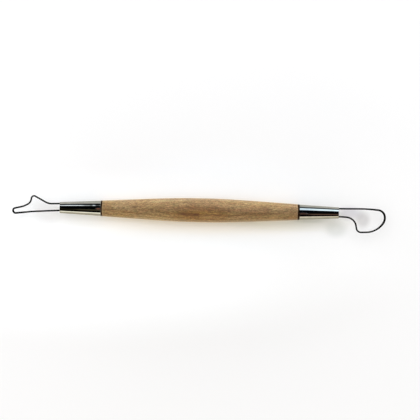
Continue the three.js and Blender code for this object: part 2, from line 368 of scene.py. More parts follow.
# %% Soft lamps
def soft_lamp(name, size, place, power, colour):
    """A rectangular lamp that faces the tool. The room's painting stands for it in the metal."""
    lamp = bpy.data.lights.new(name, "AREA")
    lamp.shape = "RECTANGLE"
    lamp.size, lamp.size_y = size
    lamp.energy = power
    lamp.color = colour
    holder = bpy.data.objects.new(name, lamp)
    bpy.context.scene.collection.objects.link(holder)
    holder.location = place
    holder.rotation_euler = (Vector((0, 0, AXIS)) - Vector(place)).to_track_quat("-Z", "Y").to_euler()
    holder.visible_camera = False
    holder.visible_glossy = False
    print(f"{name}: {size[0]} by {size[1]} m, {power} W")


soft_lamp("window", (1.2, 0.5), (0, 0.45, 0.78), 1.4, (0.98, 1.0, 1.0))
soft_lamp("far_wall", (1.6, 0.13), (0, 0.8, 0.09), 7.0, (0.94, 1.0, 1.06))
soft_lamp("near_wall", (1.6, 0.13), (-0.4, -0.8, 0.09), 5.0, (1.0, 0.94, 0.84))

# %% [markdown]
# The handle is one piece of raw hardwood turned on a lathe. Blender's spin tool is that lathe: the outline
# is drawn as a chain of edges above the axis, and spinning it makes the round body. The outline has the
# belly, a straight taper to each shoulder, a small rounded edge there, and the thinner tenon in each
# ferrule.

# %% Sizes of the turned pieces, in millimetres
HALF_HANDLE = 53.4
BELLY_RADIUS = 6.5
SHOULDER_RADIUS = 4.25
LAND = 4.0  # half of the straight stretch at the belly
BELLY_BLEND = 14.0  # how gently the belly runs out into the taper
EDGE_ROUND = 0.12  # radius of the rounded edge at the shoulder
EDGE_TURNS = (15, 40, 65, 90)  # degrees round that edge where it has a corner
FERRULE_START = HALF_HANDLE + 0.3
BASE_RADIUS, MOUTH_RADIUS = 4.15, 3.025
WALL = 0.25
GAP = 0.3  # from the tenon to the ferrule's bore
TENON_SHORT = 4.3  # from the tenon's end to the mouth
TENON_CHAMFER = 0.4
ENDS = {  # its way along X, its ferrule's length, and its two legs' distances from the axis
    "pointed": {"turn": -1, "length": 22.6, "legs": (1.555, 2.155)},
    "rounded": {"turn": 1, "length": 21.8, "legs": (2.275, 2.025)},
}
SIDES = 128  # facets round a turned piece
TAPER_POINTS = 26  # along one half of the handle
MERGE_WITHIN = 0.0001
print("wood:", 2 * HALF_HANDLE, "mm long and", 2 * BELLY_RADIUS, "mm thick")


# %% Outline of the handle
def fall(distance):
    """A hyperbola's drop at a distance from its top."""
    return math.hypot(distance, BELLY_BLEND) - BELLY_BLEND


def handle_radius(x):
    """Radius at a distance from the middle: a land, then a hyperbola that runs out into the taper."""
    slimmer = (BELLY_RADIUS - SHOULDER_RADIUS) * fall(max(0.0, x - LAND)) / fall(HALF_HANDLE - LAND)
    return BELLY_RADIUS - slimmer


def ferrule_radius(x, end):
    share = (x - FERRULE_START) / end["length"]
    return BASE_RADIUS + (MOUTH_RADIUS - BASE_RADIUS) * share


def bore_radius(x, end):
    return ferrule_radius(x, end) - WALL


def mouth_x(end):
    return FERRULE_START + end["length"]


def half_outline(end):
    """Half of the handle's outline in millimetres, from the belly out to the tenon's end."""
    outline = [(x, handle_radius(x)) for x in np.linspace(LAND, HALF_HANDLE - EDGE_ROUND, TAPER_POINTS)]
    for turn in EDGE_TURNS:
        back = math.radians(turn)
        x = HALF_HANDLE - EDGE_ROUND * (1 - math.sin(back))
        outline.append((x, SHOULDER_RADIUS - EDGE_ROUND * (1 - math.cos(back))))
    tenon_end = mouth_x(end) - TENON_SHORT
    chamfer_at = tenon_end - TENON_CHAMFER
    tenon = [
        (HALF_HANDLE, bore_radius(FERRULE_START, end) - GAP),
        (chamfer_at, bore_radius(chamfer_at, end) - GAP),
        (tenon_end, bore_radius(tenon_end, end) - GAP - TENON_CHAMFER),
        (tenon_end, 0.0),
    ]
    return outline + tenon


print("half of the outline has", len(half_outline(ENDS["pointed"])), "points")


# %% Lathe: draw an outline and spin it
def begin_piece(name):
    """Names the primitive that was just added and opens it for editing."""
    piece = bpy.context.object
    piece.name = piece.data.name = name
    switch("EDIT")
    return piece


def close_piece(piece, smooth_below=35):
    """Merges doubles, turns the faces outwards and shades the piece smooth except over sharp edges."""
    bpy.ops.mesh.select_all(action="SELECT")
    bpy.ops.mesh.remove_doubles(threshold=MERGE_WITHIN * MM)
    bpy.ops.mesh.normals_make_consistent(inside=False)
    switch("OBJECT")
    bpy.ops.object.shade_smooth_by_angle(angle=math.radians(smooth_below))
    return piece


def tell(piece):
    sizes = " by ".join(f"{size / MM:.2f}" for size in piece.dimensions)
    print(f"{piece.name}: {sizes} mm, {len(piece.data.polygons)} faces")


def turned(name, outline, smooth_below=35):
    """Spins an outline of (x, radius) in millimetres round the tool's axis."""
    select_none()
    bpy.ops.mesh.primitive_plane_add(size=MM, location=(0, 0, 0))
    piece = begin_piece(name)
    bpy.ops.mesh.merge(type="CENTER")
    points = [Vector((x * MM, 0, AXIS + radius * MM)) for x, radius in outline]
    bpy.ops.transform.translate(value=points[0])
    for before, after in zip(points, points[1:]):
        bpy.ops.mesh.extrude_region_move(TRANSFORM_OT_translate={"value": after - before})
    bpy.ops.mesh.select_all(action="SELECT")
    bpy.ops.mesh.spin(steps=SIDES, angle=math.tau, center=(0, 0, AXIS), axis=(1, 0, 0))
    return close_piece(piece, smooth_below)


left_half = [(-x, radius) for x, radius in half_outline(ENDS["pointed"])][::-1]
handle = turned("turned_handle", left_half + half_outline(ENDS["rounded"]))
tell(handle)

# %% [markdown]
# Each tenon has two grooves for the wire's legs. The cutter is a round bar along the leg whose outer half
# is pulled away from the axis, so the groove is open to the outside. The Boolean modifier leaves faces with
# many corners, which are then divided into triangles, so that no slivers appear when the piece is exported.
# Nobody sees the grooves in the finished tool, but the legs need the room.

# %% Where the legs lie
LEG_END = HALF_HANDLE + 7.0


def leg_line(end, side):
    """Where a leg lies, in the tool's coordinates: its inner end and its place at the mouth."""
    across = end["legs"][0 if side > 0 else 1]
    widening = bore_radius(LEG_END, end) - bore_radius(mouth_x(end), end)
    places = [(LEG_END, side * (across + widening)), (mouth_x(end), side * across)]
    return [Vector((end["turn"] * x, end["turn"] * y, 0)) * MM + Vector((0, 0, AXIS)) for x, y in places]


for name, end in ENDS.items():
    inner, mouth = leg_line(end, 1)
    print(f"{name} end: a leg reaches {(mouth - inner).length / MM:.1f} mm into the ferrule")

# %% Cut the grooves for the legs
GROOVE_RADIUS = 0.65
GROOVE_SIDES = 24
GROOVE_OVERRUN = 2  # how much longer the cutter is than the leg
PULLED_FROM, PULLED_BY = 0.45, 5  # the cutter's corners so far out are pulled so much further out
SHORTEST_EDGE = 0.02


def apply_modifier(piece, kind, **settings):
    bpy.context.view_layer.objects.active = piece
    modifier = piece.modifiers.new(kind.lower(), kind)
    for name, value in settings.items():
        setattr(modifier, name, value)
    bpy.ops.object.modifier_apply(modifier=modifier.name)


def cut_groove(piece, end, side):
    inner, mouth = leg_line(end, side)
    along = mouth - inner
    middle = (inner + mouth) / 2
    select_none()
    bpy.ops.mesh.primitive_cylinder_add(
        vertices=GROOVE_SIDES, radius=GROOVE_RADIUS * MM, depth=along.length + GROOVE_OVERRUN * MM,
        location=middle, rotation=(0, math.pi / 2, math.atan2(along.y, along.x)),
    )
    cutter = begin_piece("groove_cutter")
    bpy.ops.mesh.select_all(action="DESELECT")
    switch("OBJECT")
    outward = math.copysign(1, mouth.y)
    for corner in cutter.data.vertices:
        corner.select = (cutter.matrix_world @ corner.co - middle).y * outward > PULLED_FROM * MM
    switch("EDIT")
    bpy.ops.transform.translate(value=(0, outward * PULLED_BY * MM, 0))
    select_none()
    apply_modifier(piece, "BOOLEAN", operation="DIFFERENCE", solver="EXACT", object=cutter)
    bpy.data.objects.remove(cutter)


def clean_cuts(piece):
    """Dissolves tiny edges, and divides the faces with many corners and their neighbours into triangles."""
    switch("EDIT")
    bpy.ops.mesh.select_all(action="SELECT")
    bpy.ops.mesh.dissolve_degenerate(threshold=SHORTEST_EDGE * MM)
    bpy.ops.mesh.select_mode(type="FACE")
    bpy.ops.mesh.select_all(action="DESELECT")
    bpy.ops.mesh.select_face_by_sides(number=4, type="GREATER")
    bpy.ops.mesh.select_more()
    bpy.ops.mesh.quads_convert_to_tris(quad_method="BEAUTY", ngon_method="BEAUTY")
    bpy.ops.mesh.select_mode(type="VERT")
    switch("OBJECT")


for end in ENDS.values():
    for side in (1, -1):
        cut_groove(handle, end, side)
clean_cuts(handle)
tell(handle)

# %% [markdown]
# A ferrule is a tapered tube pressed from thin brass and plated, and its lip is rolled outwards into a bead
# against the wood. The outside line is spun first, and the Solidify modifier then gives the sheet its
# thickness towards the inside. The two edges of the cut rim at the mouth are selected by their place and
# rounded with the bevel tool.

# %% Outline of a ferrule
BEAD = 0.33  # radius of the rolled bead
BEAD_RISE = 0.14  # of its top over the tube
BEAD_SQUASH = 0.75  # its height as a share of a round bead's
BEAD_TURNS = range(-80, 66, 12)  # degrees round the bead where it has a corner
BEAD_START = HALF_HANDLE + 0.08  # almost against the shoulder
TUBE_POINTS = 8  # along the tube
FOOT_OUT, FOOT_RISE, TUBE_FROM = 0.09, 0.012, 0.1  # a small fillet between the bead and the tube


def ferrule_outline(end):
    top = BASE_RADIUS + BEAD_RISE
    outline = []
    for turn in BEAD_TURNS:
        lean = math.radians(turn)
        height = top - BEAD * (1 - math.cos(lean)) * BEAD_SQUASH
        outline.append((BEAD_START + BEAD + BEAD * math.sin(lean), height))
    foot = outline[-1][0] + FOOT_OUT
    outline.append((foot, ferrule_radius(foot, end) + FOOT_RISE))
    for x in np.linspace(foot + TUBE_FROM, mouth_x(end), TUBE_POINTS):
        outline.append((x, ferrule_radius(x, end)))
    return [(end["turn"] * x, radius) for x, radius in outline]


print("a ferrule's outline has", len(ferrule_outline(ENDS["pointed"])), "points")

# %% Ferrules
RIM_ROUND = 0.06
MOUTH_DEPTH = 0.1  # what lies so near the mouth belongs to its rim
SAME_RADIUS = 0.01


def edge_runs_round(first, second):
    """True where both ends of an edge are as far from the tool's axis."""
    radii = [math.hypot(corner.y, corner.z - AXIS) for corner in (first, second)]
    return abs(radii[0] - radii[1]) < SAME_RADIUS * MM


def round_mouth(tube, end):
    switch("EDIT")
    bpy.ops.mesh.select_all(action="DESELECT")
    bpy.ops.mesh.select_mode(type="EDGE")
    switch("OBJECT")
    at_mouth = (mouth_x(end) - MOUTH_DEPTH) * MM
    for edge in tube.data.edges:
        first, second = (tube.data.vertices[corner].co for corner in edge.vertices)
        edge.select = abs(first.x) > at_mouth and abs(second.x) > at_mouth and edge_runs_round(first, second)
    switch("EDIT")
    bpy.ops.mesh.bevel(offset=RIM_ROUND * MM, segments=3, affect="EDGES")
    bpy.ops.mesh.select_mode(type="VERT")
    switch("OBJECT")


def make_ferrule(name, end):
    tube = turned(name, ferrule_outline(end))
    apply_modifier(tube, "SOLIDIFY", thickness=WALL * MM, offset=-1, use_even_offset=True)
    round_mouth(tube, end)
    bpy.ops.object.shade_smooth_by_angle(angle=math.radians(40))
    tell(tube)
    return tube


ferrules = {name: make_ferrule(f"{name}_ferrule", end) for name, end in ENDS.items()}

# %% [markdown]
# Each loop is one length of spring wire, bent over pins, and the model is made the same way. A round disc
# is the wire's cut end. An extrusion pushes it straight along, and every bend is a spin about the pin's
# centre. The corners say where two straight runs would meet, and the radius of the bend between them. A
# program fitted the corners to a trace of the photograph.

# %% Corners of the two loops
WIRE_RADIUS = 0.45
WIRE_SIDES = 20
LOOP_CORNERS = {  # distance out from the mouth, distance across the axis, radius of the bend
    "pointed": [
        (14.2, 2.35, 60), (25.5, 3.6, 1.45), (25.4, 0.95, 1.2), (19.5, -0.45, 10.6), (16.05, -2.3, 3.6),
        (15.2, -6.85, 1.45), (6.2, -1.95, 6.8),
    ],
    "rounded": [
        (16.5, 2.5, 80), (24.9, 1.55, 4.1), (25.35, -3.7, 5.35), (20.95, -10.1, 11.3), (10.2, -10.4, 2.55),
        (9.2, -4.4, 5.4), (5.6, -2.25, 6.6),
    ],
}
LEG_BEND = 2.8  # radius of the bend where a leg leaves the mouth
BEND_ROOM = 0.98  # share of a straight run that the bends at its two ends may take


def bends_for(name):
    """The wire's corners, and its bends: where each starts, its centre, its turn in radians, its radius."""
    end = ENDS[name]
    first, second = leg_line(end, 1), leg_line(end, -1)
    places = [first[0], first[1]]
    for out, across, _ in LOOP_CORNERS[name]:
        x, y = end["turn"] * (mouth_x(end) + out), end["turn"] * across
        places.append(Vector((x * MM, y * MM, AXIS)))
    places += [second[1], second[0]]
    radii = [0, LEG_BEND, *(bend for _, _, bend in LOOP_CORNERS[name]), LEG_BEND, 0]
    runs = [after - before for before, after in zip(places, places[1:])]
    turns, wanted = [0.0] * len(places), [0.0] * len(places)
    for i in range(1, len(places) - 1):
        turns[i] = math.atan2(runs[i - 1].cross(runs[i]).z, runs[i - 1].dot(runs[i]))
        wanted[i] = radii[i] * MM * math.tan(abs(turns[i]) / 2)
    rooms = [BEND_ROOM * run.length for run in runs]
    fits = [1 / max(1.0, (wanted[i] + wanted[i + 1]) / room) for i, room in enumerate(rooms)]
    bends = []
    for i in range(1, len(places) - 1):
        setback = wanted[i] * min(fits[i - 1], fits[i])
        radius = setback / math.tan(abs(turns[i]) / 2)
        arriving = runs[i - 1].normalized()
        start = places[i] - arriving * setback
        pin = start + Vector((-arriving.y, arriving.x, 0)) * math.copysign(radius, turns[i])
        bends.append((start, pin, turns[i], radius))
    return places, bends


for name in LOOP_CORNERS:
    print(name, "loop:", [f"{math.degrees(turn):.0f} deg" for _, _, turn, _ in bends_for(name)[1]])

# %% Bend the wires
CHORD = math.radians(6)  # widest turn of one step of a spin
TIGHT_BEND = 2.5  # radius in millimetres: in wider bends a step turns by less
FEWEST_STEPS = 3


def selected_centre(piece):
    """Middle of the selected corners, which is where the wire has got to."""
    switch("OBJECT")
    picked = [corner.co for corner in piece.data.vertices if corner.select]
    switch("EDIT")
    return sum(picked, Vector()) / len(picked)


def bend_wire(name, piece_name):
    """Pushes and spins the wire's cut end along one loop, from leg to leg."""
    places, bends = bends_for(name)
    first_run = places[1] - places[0]
    select_none()
    bpy.ops.mesh.primitive_circle_add(
        vertices=WIRE_SIDES, radius=WIRE_RADIUS * MM, fill_type="NGON", location=places[0],
        rotation=(0, math.pi / 2, math.atan2(first_run.y, first_run.x)),
    )
    bpy.ops.object.transform_apply(location=True, rotation=True, scale=True)
    wire = begin_piece(piece_name)
    at = places[0]
    for start, pin, turn, radius in bends:
        bpy.ops.mesh.extrude_region_move(TRANSFORM_OT_translate={"value": start - at})
        step = min(CHORD, TIGHT_BEND * CHORD * MM / radius + CHORD / 3)
        steps = max(FEWEST_STEPS, math.ceil(abs(turn) / step))
        bpy.ops.mesh.spin(steps=steps, angle=-turn, center=pin, axis=(0, 0, 1))  # its turns count clockwise
        at = selected_centre(wire)
    bpy.ops.mesh.extrude_region_move(TRANSFORM_OT_translate={"value": places[-1] - at})
    miss = (selected_centre(wire) - places[-1]).length / MM
    print(f"{piece_name}: {len(bends)} bends, ends {miss:.4f} mm from its place")
    return close_piece(wire, 50)


wires = {name: bend_wire(name, f"{name}_wire_loop") for name in LOOP_CORNERS}

# %% [markdown]
# The front of a loop does the cutting, and there the wire looks wider from above, as if hammered a little
# flat. Each ring of corners near the front is made wider in the loop's own plane and lower by the same
# factor, so the wire's section keeps its area. The amount fades out smoothly to both sides.

# %% Flatten the fronts of the loops
FRONTS = {  # its place, how far the flattening reaches in millimetres, and how much wider it gets
    "pointed": ((-101.3, -2.8), 3.4, 0.22),
    "rounded": ((100.4, -2.5), 10.4, 0.33),
}


def wire_sections(wire):
    """The wire's rings of corners, their middles, the way across it, and each corner's distance that way."""
    corners = np.array([corner.co for corner in wire.data.vertices]).reshape(-1, WIRE_SIDES, 3)
    middles = corners.mean(axis=1)
    heading = np.gradient(middles, axis=0)
    heading /= np.linalg.norm(heading, axis=1, keepdims=True)
    sideways = np.stack([-heading[:, 1], heading[:, 0], 0 * heading[:, 0]], axis=1)[:, None]
    across = ((corners - middles[:, None]) * sideways).sum(axis=2)
    return corners, middles, sideways, across


def flatten_front(wire, front, reach, widening):
    corners, middles, sideways, across = wire_sections(wire)
    away = np.linalg.norm(middles[:, :2] - np.array(front) * MM, axis=1) / (reach * MM)
    share = np.clip(1 - away, 0, 1)
    wider = (1 + widening * share**2 * (3 - 2 * share))[:, None]
    height = middles[:, None, 2]
    moved = corners + sideways * (across * (wider - 1))[..., None]
    moved[..., 2] = height + (corners[..., 2] - height) / wider
    wire.data.vertices.foreach_set("co", moved.ravel())
    wire.data.update()
    print(wire.name, "is", round(2 * WIRE_RADIUS * float(wider.max()), 2), "mm wide at its front")


for name, wire in wires.items():
    flatten_front(wire, *FRONTS[name])

# %% [markdown]
# Glue fills each mouth round the two legs. It was poured in liquid, so its face creeps up the tube's wall
# and up the wires. A spun plug has rings on its face for that. The corners near each leg are moved
# outwards, and their neighbours less and less, as with proportional editing.

# %% Glue in the mouths
GLUE_IN = 0.4  # the face's distance in from the mouth, at the wall
GLUE_DEPTH = 3.6
GLUE_GAP = 0.02  # between the glue and the bore
GLUE_RINGS = (1.0, 0.97, 0.93, 0.88, 0.82, 0.74, 0.65, 0.55, 0.44, 0.32, 0.2, 0.1, 0.0)  # of the radius
GLUE_HOLLOW = 0.28  # how deep the face lies in the middle
FACE_DEPTH = 0.5  # the corners so near the mouth belong to the face
CREEP, CREEP_REACH = 0.16, 0.18  # how far the glue creeps up a leg, and how fast that ends beside it


def glue_outline(end):
    wall = mouth_x(end) - GLUE_IN
    back = wall - GLUE_DEPTH
    outline = [(back, 0.0), (back, bore_radius(back, end) - GLUE_GAP)]
    for share in GLUE_RINGS:
        sink_in = GLUE_HOLLOW * (1 - share**6)
        outline.append((wall - sink_in, (bore_radius(wall, end) - GLUE_GAP) * share))
    return [(end["turn"] * x, radius) for x, radius in outline]


def make_glue(name, end):
    plug = turned(name, glue_outline(end), 60)
    for side in (1, -1):
        leg = leg_line(end, side)[1]
        for corner in plug.data.vertices:
            away = math.hypot(corner.co.y - leg.y, corner.co.z - leg.z) / MM
            if abs(corner.co.x) > (mouth_x(end) - GLUE_IN - FACE_DEPTH) * MM:
                creep = CREEP * MM * math.exp(-max(0.0, away - WIRE_RADIUS) / CREEP_REACH)
                corner.co.x += end["turn"] * creep
    tell(plug)
    return plug


glues = {name: make_glue(f"{name}_glue", end) for name, end in ENDS.items()}

# %% [markdown]
# Raw hardwood takes its look from its growth layers. They lie almost parallel to the bench, so the belly
# cuts them into long ellipses. The layers are a sine over the height, bent by slow noise. Fibres, pores and
# clouds of colour come on top, blots put the stains where the photograph has them, and a painted sheen
# makes the sides paler. Soft tints are partly the wood's tone and partly painted light and shade. Each of
# these is a function that takes the colour and gives it back with one thing more. The first 14 of the
# wood's tints were fitted to the photograph by a program too.

# %% Growth layers of the wood
ACROSS_LAYERS = (0.01, 0.22, 0.975)
LAYER_PITCH = 1.7 * MM
EARLY_WOOD, LATE_WOOD = (0.383, 0.257, 0.120, 1), (0.323, 0.202, 0.088, 1)
CLOUD_TINT = (0.90, 0.87, 0.86, 1)
DARK_MIDDLE_CENTRE, DARK_MIDDLE_REACH = (-3, -1.2, 6), (44, 6.5, 9)  # darker middle of the wood, strongest on top, in millimetres
DARK_MIDDLE_TINT = (0.70, 0.62, 0.52, 1)


def long_noise(tree, place, scale, detail=2.0):
    """Noise with its own scale along each axis, in waves per metre."""
    stretched = vectors(tree, "MULTIPLY", place, scale)
    return put(tree, "TexNoise", {"Vector": stretched, "Scale": 1.0, "Detail": detail}).outputs["Fac"]


def growth_layers(tree, place):
    """The wood's main colour, with its clouds and a darker middle that is strongest on top."""
    height = put(tree, "VectorMath", {0: place, 1: ACROSS_LAYERS}, operation="DOT_PRODUCT").outputs["Value"]
    slow = times(tree, long_noise(tree, place, (25, 90, 90)), 3.2 * MM)
    quick = times(tree, long_noise(tree, place, (110, 420, 420), 3.0), 0.9 * MM)
    height = sums(tree, "ADD", height, sums(tree, "ADD", slow, quick))
    layer = sums(tree, "SINE", times(tree, height, math.tau / LAYER_PITCH))
    colour = mixed(tree, span(tree, layer, -0.8, 1.0, soft=True), EARLY_WOOD, LATE_WOOD)
    cloud = span(tree, long_noise(tree, place, (45, 110, 110), 3.0), 0.35, 0.65, soft=True)
    colour = multiplied(tree, colour, CLOUD_TINT, cloud)
    return multiplied(tree, colour, DARK_MIDDLE_TINT, blot(tree, place, DARK_MIDDLE_CENTRE, DARK_MIDDLE_REACH))


# %% Flecks, rays, fibres and pores
WOOD_FLECKS = [  # length and width in millimetres, contrast, darkest and lightest
    (9.0, 0.45, 2.2, 0.90, 1.09), (3.0, 0.42, 2.4, 0.81, 1.19), (1.5, 0.44, 2.8, 0.79, 1.21),
    (0.8, 0.46, 3.0, 0.81, 1.19),
]
PATCH_TINTS = (1.05, 0.975, 0.97, 1), (0.95, 1.025, 0.96, 1)  # towards red and towards green
RAY_COLOUR, PORE_COLOUR = (0.13, 0.07, 0.03, 1), (0.12, 0.06, 0.03, 1)


def wood_lines(tree, place, length, width, contrast):
    """Fine lines along the wood, so long and so wide in millimetres."""
    sizes = {"Length": length * MM, "Width": width * MM, "Contrast": contrast}
    return use_group(tree, FINE_LINES, {"Vector": place, **sizes})


def add_flecks(tree, place, colour):
    for length, width, contrast, darkest, lightest in WOOD_FLECKS:
        flecks = wood_lines(tree, place, length, width, contrast)
        colour = multiplied(tree, colour, span(tree, flecks, 0.0, 1.0, darkest, lightest))
    patches = wood_lines(tree, place, 2.4, 0.9, 2.0)
    colour = multiplied(tree, colour, mixed(tree, patches, *PATCH_TINTS))
    rays = span(tree, wood_lines(tree, place, 1.9, 0.42, 1.5), 0.72, 0.95)
    return mixed(tree, times(tree, rays, 0.42), colour, RAY_COLOUR)


def add_fibres(tree, place, colour):
    """Fibres and pores. Their masks come back too, because the relief and the shine follow them."""
    fibres = wood_lines(tree, place, 7.0, 0.13, 1.2)
    colour = multiplied(tree, colour, span(tree, fibres, 0.0, 1.0, 0.86, 1.12))
    pores = span(tree, wood_lines(tree, place, 2.6, 0.17, 1.0), 0.80, 0.95)
    return mixed(tree, times(tree, pores, 0.55), colour, PORE_COLOUR), fibres, pores


# %% Stains, and tints that are partly painted light and shade
STAIN_COLOUR = (0.13, 0.058, 0.028, 1)
RAGGED = (5 * MM, 1.2 * MM, 0)  # how far the edge of a spot is bent along and across
WOOD_STAINS = [  # centre and reach in millimetres along, across and up from the axis, and how strong
    ((-6.3, -2.4, 6.0), (7.5, 1.5, 3), 0.55),
    ((-9.2, -2.0, 6.0), (3.2, 1.0, 3), 0.7),
    ((-2.3, -2.6, 6.0), (3.2, 1.0, 3), 0.85),
    ((6.5, -2.5, 6.0), (7.0, 0.7, 3), 0.45),
    ((-9.0, 3.7, 5.0), (19.0, 0.6, 3), 0.35),
    ((-36.2, 1.0, 5.1), (2.6, 0.9, 3), 0.4),
    ((-32.0, 4.4, 3.2), (1.0, 0.5, 2), 0.55),
    ((-19.6, 3.5, 4.8), (2.0, 0.8, 2), 0.3),
    ((15.8, 0.4, 6.0), (1.8, 1.0, 3), 0.4),
    ((34.6, 1.4, 5.1), (5.0, 1.2, 3), 0.35),
    ((8.0, -3.0, -5.5), (12.0, 1.4, 3), 0.5),
    ((-24.0, 2.0, -5.5), (9.0, 1.2, 3), 0.45),
]
# tints: partly the wood's own tone, partly painted light and shade, such as a bluer sheen on the far side
WOOD_TONE_AND_LIGHT_TINTS = [  # as for the paper: centre, reach and tint
    ((52.7, -3.0), (10.5, 4.7), (0.80, 0.73, 0.66)),
    ((34.8, -2.4), (20.7, 2.7), (0.86, 0.81, 0.70)),
    ((-32.0, 1.6), (11.8, 4.6), (0.84, 0.75, 0.70)),
    ((27.7, 0.5), (17.1, 3.0), (0.89, 0.80, 0.77)),
    ((0.4, -3.0), (21.9, 5.0), (1.02, 0.89, 0.66)),
    ((5.8, 3.1), (22.5, 2.6), (0.88, 0.81, 0.80)),
    ((-20.0, -3.9), (13.8, 3.9), (1.11, 1.13, 1.10)),
    ((-8.1, 1.5), (15.0, 1.7), (0.92, 0.86, 0.81)),
    ((-43.4, -2.1), (15.1, 2.2), (0.95, 0.89, 0.78)),
    ((-51.5, 0.8), (6.4, 3.8), (0.91, 0.86, 0.77)),
    ((-41.2, 4.4), (9.4, 2.0), (1.06, 1.12, 1.27)),
    ((5.1, -2.9), (8.5, 3.2), (1.11, 1.20, 1.43)),
    ((-26.0, 0.9), (6.8, 2.8), (1.17, 1.27, 1.27)),
    ((53.7, 3.2), (10.7, 2.5), (0.88, 0.85, 0.96)),
    ((-8.0, 6.2), (42.0, 2.2), (1.00, 1.00, 1.13)),
    ((3.0, -1.2), (24.0, 1.7), (1.02, 1.02, 0.85)),
    ((-1.0, 0.5), (34.0, 1.8), (1.03, 0.97, 1.00)),
    ((-47.0, -4.2), (16.0, 1.5), (1.00, 1.00, 0.84)),
]
print(len(WOOD_STAINS), "stains and", len(WOOD_TONE_AND_LIGHT_TINTS), "tints on the wood")


def add_stains_tone_and_light(tree, place, colour):
    noise = put(tree, "TexNoise", {"Vector": place, "Scale": 260.0, "Detail": 3.0}).outputs["Color"]
    bend = vectors(tree, "MULTIPLY", vectors(tree, "SUBTRACT", noise, (0.5, 0.5, 0.5)), RAGGED)
    bent = vectors(tree, "ADD", place, bend)
    streaks = span(tree, wood_lines(tree, place, 4.5, 0.5, 3.0), 0.0, 1.0, 0.55, 1.35)
    for centre, reach, strength in WOOD_STAINS:
        stain = times(tree, blot(tree, bent, centre, reach), streaks)
        colour = mixed(tree, times(tree, stain, strength), colour, STAIN_COLOUR)
    # the tints paint light and shade as well as tone
    return tint_spots(tree, bent, colour, WOOD_TONE_AND_LIGHT_TINTS)


# %% Painted sheen on the sides and dirt on the rims
# the pale colour on the handle's sides is a painted sheen
SHEEN_COLOUR, RIM_COLOUR = (0.62, 0.52, 0.38, 1), (0.55, 0.40, 0.24, 1)
DIRT_COLOUR = (0.055, 0.022, 0.005, 1)
SHEEN_SIDE = math.radians(5), math.radians(42)  # up and down from a side's middle, where the painted sheen thins out
SHEEN_NEAR, SHEEN_FAR = 0.34, 0.15  # how strong the painted sheen is on the near side and on the far side
RIM_FROM, RIM_TO = HALF_HANDLE - 1.0, HALF_HANDLE - 0.4  # where the wood gets paler towards the shoulder
DIRT_LEFT, DIRT_RIGHT = HALF_HANDLE - 0.36, HALF_HANDLE - 0.41  # where the dark dirt starts
RIM_RUBBED = [  # centre and reach as for the stains, and how much dirt is gone
    ((-53.3, -0.5, 4), (1.4, 2.4, 4), 0.45),
    ((53.3, 1.1, 4), (1.4, 1.7, 4), 0.30),
]


def add_sheen_and_dirt(tree, place, colour):
    """Painted pale sheen on the handle's sides, a paler rim at each shoulder, and the dirt against the
    ferrules.
    """
    parts = put(tree, "SeparateXYZ", {0: place}).outputs
    angle = sums(tree, "ABSOLUTE", sums(tree, "ARCTAN2", parts["Y"], parts["Z"]))
    from_side = sums(tree, "ABSOLUTE", sums(tree, "SUBTRACT", math.radians(90), angle))
    # painted sheen: paler towards the middle of each side
    dust_and_sheen = span(tree, from_side, *SHEEN_SIDE, 1.0, 0.0, soft=True)
    amount = span(tree, parts["Y"], -AXIS_BLEND, AXIS_BLEND, SHEEN_NEAR, SHEEN_FAR)
    colour = mixed(tree, times(tree, dust_and_sheen, amount), colour, SHEEN_COLOUR)
    along = sums(tree, "ABSOLUTE", parts["X"])
    colour = mixed(tree, span(tree, along, RIM_FROM * MM, RIM_TO * MM, 0.0, 0.2), colour, RIM_COLOUR)
    dirt_from = span(tree, parts["X"], -MM, MM, DIRT_LEFT * MM, DIRT_RIGHT * MM)
    dirt = span(tree, sums(tree, "SUBTRACT", along, dirt_from), 0.0, 0.1 * MM)
    for centre, reach, gone in RIM_RUBBED:
        rubbed = times(tree, blot(tree, place, centre, reach), -gone)
        dirt = times(tree, dirt, sums(tree, "ADD", rubbed, 1.0))
    return mixed(tree, dirt, colour, DIRT_COLOUR)


# %% Wood
def finish_solid(material, colour, rough, relief, strength, depth, more):
    """Ends a solid's material. The relief is so strong and so many millimetres deep."""
    tree = material.node_tree
    bump = put(tree, "Bump", {"Height": relief, "Strength": strength, "Distance": depth * MM}).outputs[0]
    shader = {"Base Color": colour, "Roughness": rough, "Normal": bump, **more}
    return end_material(material, put(tree, "BsdfPrincipled", shader))


def wood_material():
    material, tree = new_material("raw_hardwood")
    place = from_axis(tree)
    colour = add_flecks(tree, place, growth_layers(tree, place))
    colour, fibres, pores = add_fibres(tree, place, colour)
    colour = add_sheen_and_dirt(tree, place, add_stains_tone_and_light(tree, place, colour))
    turning = long_noise(tree, place, (2600, 8, 8), 1.0)
    relief = sums(tree, "ADD", times(tree, fibres, 0.5), times(tree, turning, 0.3))
    relief = sums(tree, "SUBTRACT", relief, pores)
    rough = span(tree, fibres, 0.0, 1.0, 0.72, 0.58)
    return finish_solid(material, colour, rough, relief, 0.35, 0.04, {})


handle.data.materials.append(wood_material())
